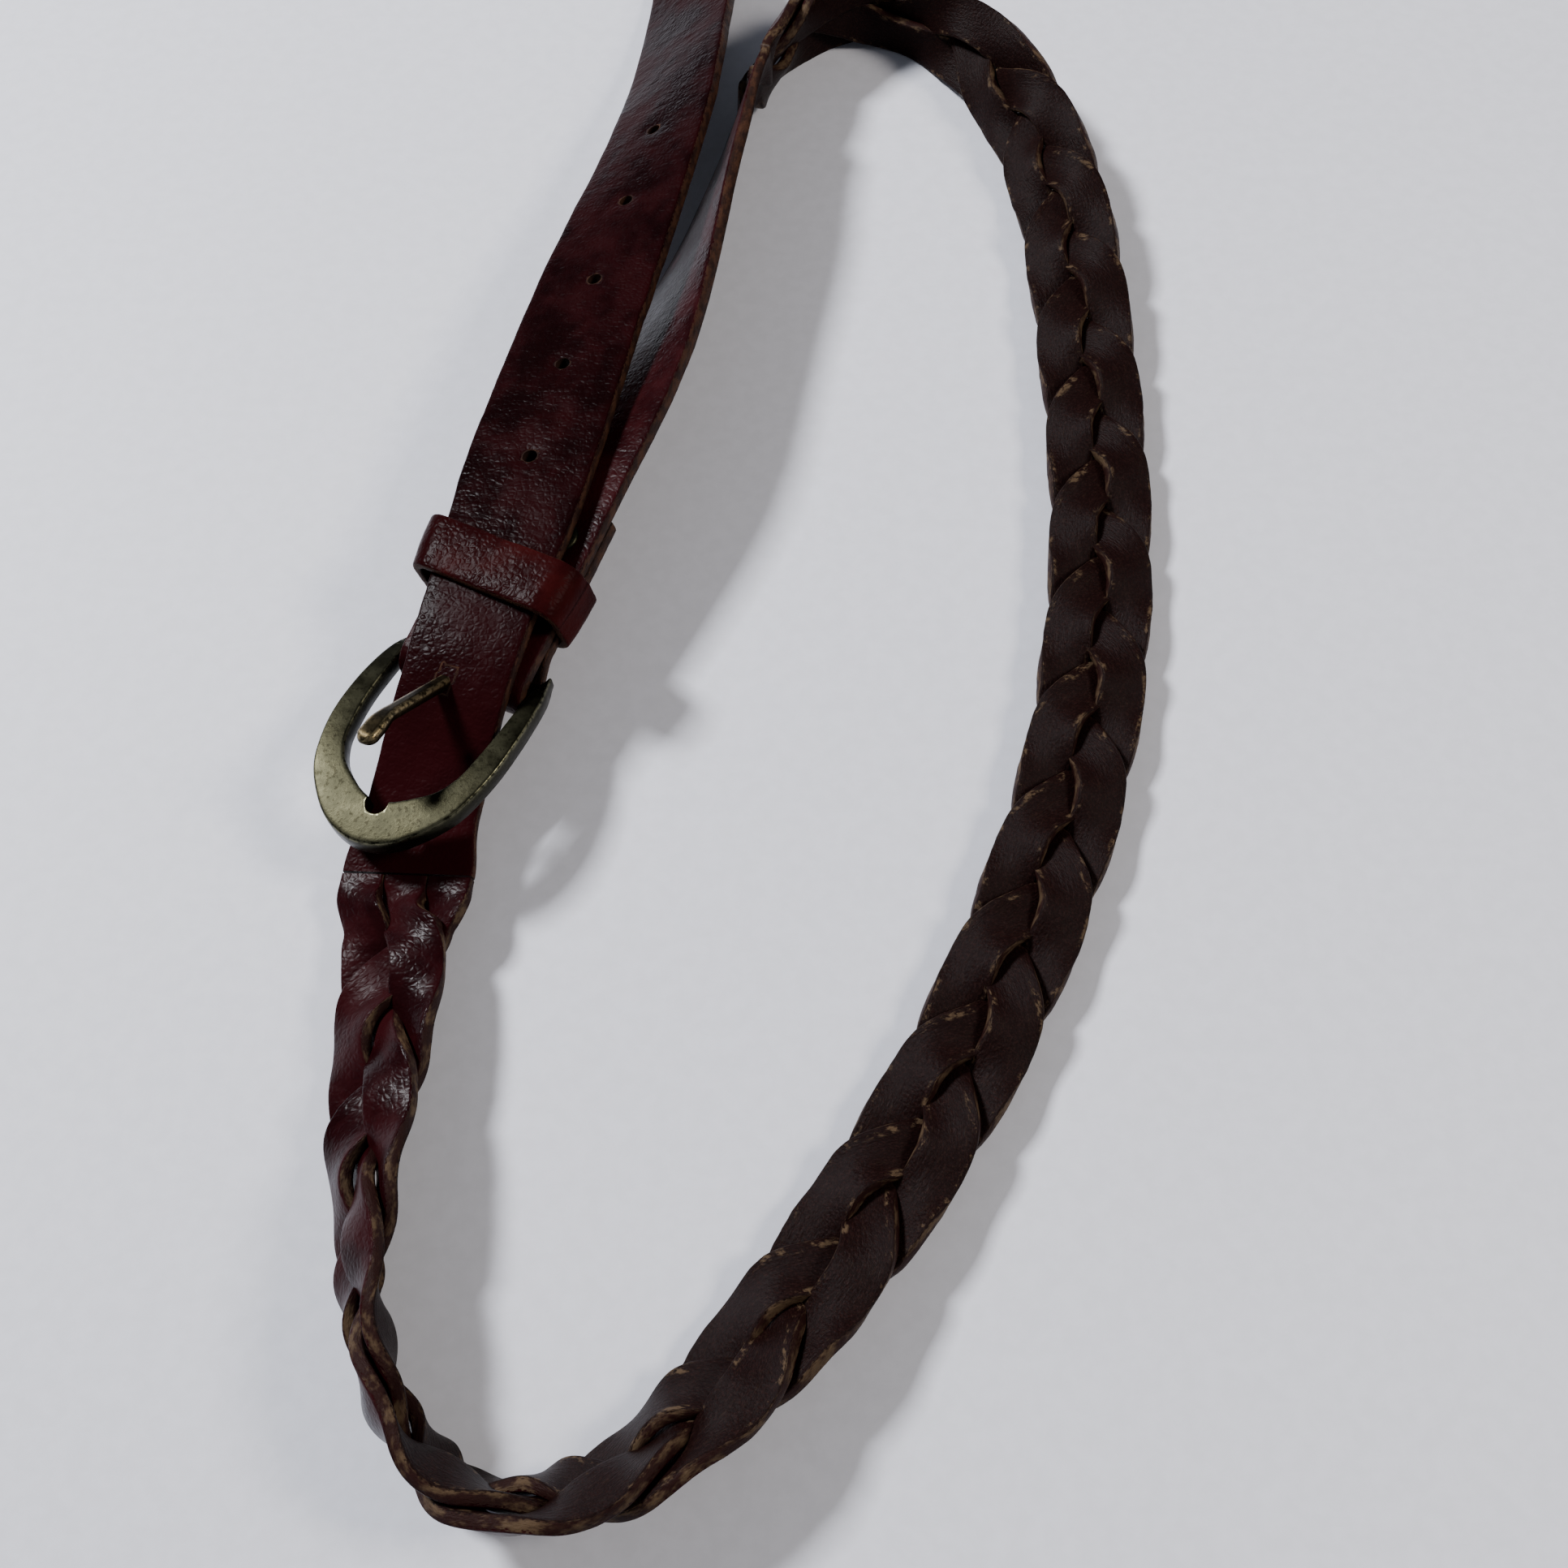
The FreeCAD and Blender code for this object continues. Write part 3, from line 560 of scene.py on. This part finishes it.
def rivets():
    """Two domed rivets through the fold: the posts with their heads, and the caps."""
    middle, _, side, normal = frame_at(RIVET_STATION)
    spots = [(middle + side * w, normal) for w in (-RIVET_SPREAD, RIVET_SPREAD)]
    under, over = -(STRAP_THICK * 1.5 + FOLD_GAP), STRAP_THICK / 2
    post = [(0.5, under - RIVET_PLATE), (2.6, under - 0.82), (3.6, under - 0.55),
            (RIVET_HEAD, under - 0.2), (RIVET_HEAD, under),
            (SHANK_RADIUS, under), (SHANK_RADIUS, over)]
    cap = [(SHANK_RADIUS, over), (RIVET_CAP, over), (RIVET_CAP, over + 0.2),
           (3.2, over + 0.55), (2.2, over + 0.82), (0.5, over + RIVET_PLATE)]
    return lathe("rivet_post_pair", post, spots), lathe("rivet_cap_pair", cap, spots)


# ---- materials -----------------------------------------------------------------------------
class Graph:
    """Small wrapper that builds one node material."""

    def __init__(self, name):
        self.material = bpy.data.materials.new(name)
        self.material.use_nodes = True
        self.tree = self.material.node_tree
        self.tree.nodes.clear()

    def node(self, kind, inputs=(), **props):
        n = self.tree.nodes.new(kind)
        for key, value in props.items():
            setattr(n, key, value)
        for key, value in dict(inputs).items():
            if isinstance(value, bpy.types.NodeSocket):
                self.tree.links.new(value, n.inputs[key])
            else:
                n.inputs[key].default_value = value
        return n

    def math(self, operation, a, b=0.0):
        return self.node("ShaderNodeMath", {0: a, 1: b}, operation=operation).outputs[0]

    def mix(self, factor, a, b):
        n = self.node("ShaderNodeMix", {0: factor, 6: a, 7: b}, data_type="RGBA")
        return n.outputs[2]

    def span(self, value, low, high, to_low=0.0, to_high=1.0):
        n = self.node("ShaderNodeMapRange", {0: value, 1: low, 2: high, 3: to_low, 4: to_high},
                      interpolation_type="SMOOTHSTEP")
        return n.outputs[0]

    def noise(self, vector, scale, detail=3.0, rough=0.55, stretch=(1, 1, 1)):
        if stretch != (1, 1, 1):
            vector = self.node("ShaderNodeVectorMath", {0: vector, 1: stretch},
                               operation="MULTIPLY").outputs[0]
        n = self.node("ShaderNodeTexNoise", {"Vector": vector, "Scale": scale, "Detail": detail,
                                             "Roughness": rough})
        return n.outputs[0]

    def surface(self, colour, rough, height, depth, strength=1.0, **extra):
        bump = self.node("ShaderNodeBump", {"Height": height, "Distance": depth,
                                            "Strength": strength})
        inputs = {"Base Color": colour, "Roughness": rough, "Normal": bump.outputs[0]}
        inputs.update(extra)
        shader = self.node("ShaderNodeBsdfPrincipled", inputs)
        self.node("ShaderNodeOutputMaterial", {"Surface": shader.outputs[0]})
        return self.material


def strip_coordinates(g):
    """Texture space of a strap, then its place along, across and its side."""
    strip = g.node("ShaderNodeAttribute", attribute_name="strip").outputs["Vector"]
    parts = g.node("ShaderNodeSeparateXYZ", {0: strip})
    flat = g.node("ShaderNodeCombineXYZ", {0: parts.outputs[0], 1: parts.outputs[1],
                                           2: g.math("MULTIPLY", parts.outputs[2], 4.0)})
    return flat.outputs[0], parts.outputs[0], parts.outputs[1], parts.outputs[2]


def leather(name, deep, warm, flesh_dark, flesh_light, raw, tan=0.5, fray=13.4, shine=0.042,
            tone_and_sheen_fade=None):
    """Grain on top, fibrous flesh underneath and a raw cut edge between them.

    tan sets how much of the edges is bare, fray how far from the middle the flesh is tufted,
    and the last argument is (start, end, tone) for a stretch along the strap painted in a lighter
    tone, partly the leather's own colour and partly painted sheen.
    """
    g, rough, edge = Graph(name), 0.3, 0.5
    vector, along, across, side = strip_coordinates(g)
    cloud = g.noise(vector, 0.07, 3.0, 0.6)
    fine = g.noise(vector, 1.5, 3.0, 0.55)
    crease = g.noise(vector, 0.55, 2.5, 0.5, (1.0, 0.45, 1.0))
    fibre = g.noise(vector, 1.1, 5.0, 0.7, (0.35, 1.6, 1.0))
    cell = g.node("ShaderNodeTexVoronoi", {"Vector": vector, "Scale": 0.8, "Randomness": 1.0},
                  feature="DISTANCE_TO_EDGE").outputs[0]
    grain_colour = g.mix(g.span(cloud, 0.35, 0.65), deep, warm)
    grain_colour = g.mix(g.span(fine, 0.55, 0.75, 0.0, 0.35), grain_colour, warm)
    # Painted sheen: over a stretch along the strap the grain is mixed toward a lighter tone, partly
    # its own colour and partly painted sheen.
    if tone_and_sheen_fade:
        start, end, tone = tone_and_sheen_fade
        grain_colour = g.mix(g.span(along, start, end, 0.85, 0.0), grain_colour, tone)
    speck = g.span(g.noise(vector, 2.6, 5.0, 0.75), 0.48, 0.66)
    flesh_colour = g.mix(speck, flesh_dark, flesh_light)
    flesh_colour = g.mix(g.span(fibre, 0.56, 0.74, 0.0, 0.12), flesh_colour, raw)
    border = g.span(g.math("ABSOLUTE", across), fray, fray + 0.7)
    tuft = g.span(g.noise(vector, 0.3, 5.0, 0.75), tan, tan + 0.1)
    flesh_colour = g.mix(g.math("MULTIPLY", border, tuft), flesh_colour, raw)
    ragged = g.math("ADD", side, g.span(fine, 0.3, 0.7, -0.22, 0.22))
    top = g.span(ragged, edge - 0.12, edge + 0.12)
    under = g.span(ragged, -edge + 0.12, -edge - 0.12)
    worn = g.span(g.noise(vector, 0.28, 3.0, 0.6), tan - 0.1, tan + 0.12)
    raw_colour = g.mix(worn, flesh_light, raw)
    colour = g.mix(under, g.mix(top, raw_colour, grain_colour), flesh_colour)
    smooth_top = g.span(cloud, 0.3, 0.7, rough - 0.07, rough + 0.08)
    roughness = g.node("ShaderNodeMix", {0: top, 2: 0.42, 3: smooth_top}).outputs[0]
    pebble = g.math("ADD", g.math("MULTIPLY", g.span(cell, 0.0, 0.35), 0.3),
                    g.math("MULTIPLY", crease, 1.4))
    pebble = g.math("ADD", pebble, g.math("MULTIPLY", fine, 0.1))
    nap = g.math("ADD", g.math("MULTIPLY", fibre, 1.8), g.math("MULTIPLY", fine, 1.4))
    height = g.node("ShaderNodeMix", {0: top, 2: nap, 3: pebble}).outputs[0]
    return g.surface(colour, roughness, height, 0.00026, 0.5, **{"Specular IOR Level": shine})


def metal(name, dull, bright, dark):
    """Antiqued casting: mottled faces, dark pits, and bright worn arrises."""
    g, rough = Graph(name), 0.36
    spot = g.node("ShaderNodeTexCoord").outputs["Object"]
    cloud = g.noise(spot, 180.0, 4.0, 0.6)
    fleck = g.noise(spot, 900.0, 4.0, 0.7)
    pit = g.noise(spot, 1500.0, 3.0, 0.6)
    side = strip_coordinates(g)[3]
    rim = g.math("MULTIPLY", g.span(side, 0.15, 0.5), g.span(side, 0.995, 0.9))
    colour = g.mix(g.span(cloud, 0.2, 0.8), dull, bright)
    colour = g.mix(g.span(fleck, 0.53, 0.64, 0.0, 0.75), colour, dark)
    colour = g.mix(g.span(pit, 0.62, 0.72, 0.0, 0.7), colour, bright)
    worn = tuple(min(1.0, c * 5.0) for c in bright[:3]) + (1,)
    colour = g.mix(g.math("MULTIPLY", rim, g.span(fleck, 0.4, 0.55)), colour, worn)
    roughness = g.span(cloud, 0.3, 0.7, rough - 0.06, rough + 0.1)
    height = g.math("ADD", g.math("MULTIPLY", fleck, 0.7), cloud)
    return g.surface(colour, roughness, height, 0.00006, 0.7, Metallic=1.0)


STRAP_FLESH = ((0.007, 0.003, 0.0026, 1), (0.020, 0.010, 0.008, 1), (0.05, 0.022, 0.013, 1))
STRAP_LEATHER = leather("strap_leather", (0.010, 0.0012, 0.0018, 1), (0.026, 0.003, 0.004, 1),
                        *STRAP_FLESH)
# Tip strap leather is darker than the rest, partly its own tone and partly painted shade; near its
# root it is mixed back to a lighter tone, partly painted sheen.
TIP_LEATHER = leather("tip_leather", (0.0045, 0.0006, 0.0009, 1), (0.0135, 0.0015, 0.002, 1),
                      *STRAP_FLESH, shine=0.022,
                      tone_and_sheen_fade=(TIP_SEED + TIP_SLIT + 2, TIP_SEED + TIP_SLIT + 70,
                            (0.021, 0.0026, 0.0036, 1)))
STRAND_LEATHER = leather("strand_leather", (0.009, 0.0011, 0.0017, 1), (0.022, 0.0026, 0.0036, 1),
                         (0.0062, 0.0019, 0.0017, 1), (0.018, 0.0065, 0.0055, 1),
                         (0.075, 0.047, 0.027, 1), tan=0.54, fray=3.75, shine=0.052)
KEEPER_LEATHER = leather("keeper_leather", (0.013, 0.0016, 0.002, 1), (0.030, 0.0036, 0.0036, 1),
                         (0.012, 0.004, 0.0035, 1), (0.04, 0.016, 0.011, 1),
                         (0.06, 0.028, 0.016, 1), shine=0.014)
BRASS = metal("antique_brass", (0.0125, 0.0116, 0.0065, 1), (0.0235, 0.0225, 0.0135, 1),
              (0.007, 0.0062, 0.0035, 1))
PRONG_BRASS = metal("prong_brass", (0.026, 0.019, 0.0095, 1), (0.055, 0.042, 0.022, 1),
                    (0.01, 0.0075, 0.004, 1))
STEEL = metal("staple_steel", (0.35, 0.35, 0.36, 1), (0.55, 0.55, 0.56, 1), (0.2, 0.2, 0.2, 1))


def finish_piece(obj, material, body, slot, *replaced):
    """Gives the piece its edges and material, and hangs it on its body."""
    obj.data.set_sharp_from_angle(angle=math.radians(52))
    obj.data.materials.clear()
    obj.data.materials.append(material)
    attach(obj, body)
    if replaced:
        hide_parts(*replaced)


finish_piece(buckle_leather(), STRAP_LEATHER, "strap", "strap_leather", "buckle_strap")
for lane, place in ((-1, "outer"), (0, "middle"), (1, "inner")):
    finish_piece(plait_strand("plait_" + place, lane), STRAND_LEATHER, "strap",
                 "strand_leather", "strand_" + place)
finish_piece(tip_leather(), TIP_LEATHER, "strap", "tip_leather", "tip_strap")
finish_piece(keeper_loop(), KEEPER_LEATHER, "keeper", "keeper_leather", "keeper")
posts, caps = rivets()
finish_piece(posts, BRASS, "strap", "rivet_brass", "rivet_posts")
finish_piece(caps, BRASS, "strap", "rivet_brass", "rivet_caps")
finish_piece(frame_casting(), BRASS, "buckle", "antique_brass", "buckle_frame")
finish_piece(prong_casting(), PRONG_BRASS, "prong", "prong_brass", "prong")
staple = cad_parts["keeper_staple"]
staple.data.materials.clear()
staple.data.materials.append(STEEL)


# ---- floor, lights and camera --------------------------------------------------------------
def floor():
    """White table under the belt."""
    g = Graph("table")
    spot = g.node("ShaderNodeTexCoord").outputs["Object"]
    grain = g.noise(spot, 260.0, 3.0, 0.6)
    colour = g.mix(g.span(grain, 0.3, 0.7), (0.735, 0.735, 0.80, 1), (0.775, 0.775, 0.845, 1))
    obj = mesh_object("table", [(-3000, -3000, 0), (3000, -3000, 0), (3000, 3000, 0),
                                (-3000, 3000, 0)], [(0, 1, 2, 3)])
    obj.data.materials.append(g.surface(colour, 0.6, grain, 0.0001, 0.2))


def area_light(name, place, target, size, power, colour):
    """Square light at place that faces target."""
    data = bpy.data.lights.new(name, "AREA")
    data.energy, data.size, data.color = power, size, colour
    obj = bpy.data.objects.new(name, data)
    bpy.context.collection.objects.link(obj)
    obj.location = place
    away = np.array(place) - np.array(target)
    flat = math.hypot(away[0], away[1])
    obj.rotation_euler = (math.atan2(flat, away[2]), 0, math.atan2(away[0], -away[1]))


floor()
area_light("window", (-1.0, 0.6, 1.12), (0, 0, 0), 0.26, 45.0, (0.945, 0.965, 1.0))
area_light("room", (0.95, -0.1, 0.85), (0, 0, 0), 0.3, 10.0, (1.0, 0.94, 0.86))
world = bpy.data.worlds.new("soft")
world.use_nodes = True
world.node_tree.nodes["Background"].inputs[0].default_value = (0.80, 0.87, 1.0, 1)
world.node_tree.nodes["Background"].inputs[1].default_value = 0.17
bpy.context.scene.world = world

CAMERA_ABOVE = 288.0
CAMERA_TILT = 26.0
CAMERA_NEAR = 140.5
data = bpy.data.cameras.new("camera")
data.lens, data.sensor_width = 36.06, 36.0
camera = bpy.data.objects.new("camera", data)
bpy.context.collection.objects.link(camera)
camera.location = ((np.array((0, -CAMERA_NEAR, CAMERA_ABOVE)) - MIDDLE) * MM).tolist()
camera.rotation_euler = (math.radians(CAMERA_TILT), 0, 0)
bpy.context.scene.camera = camera
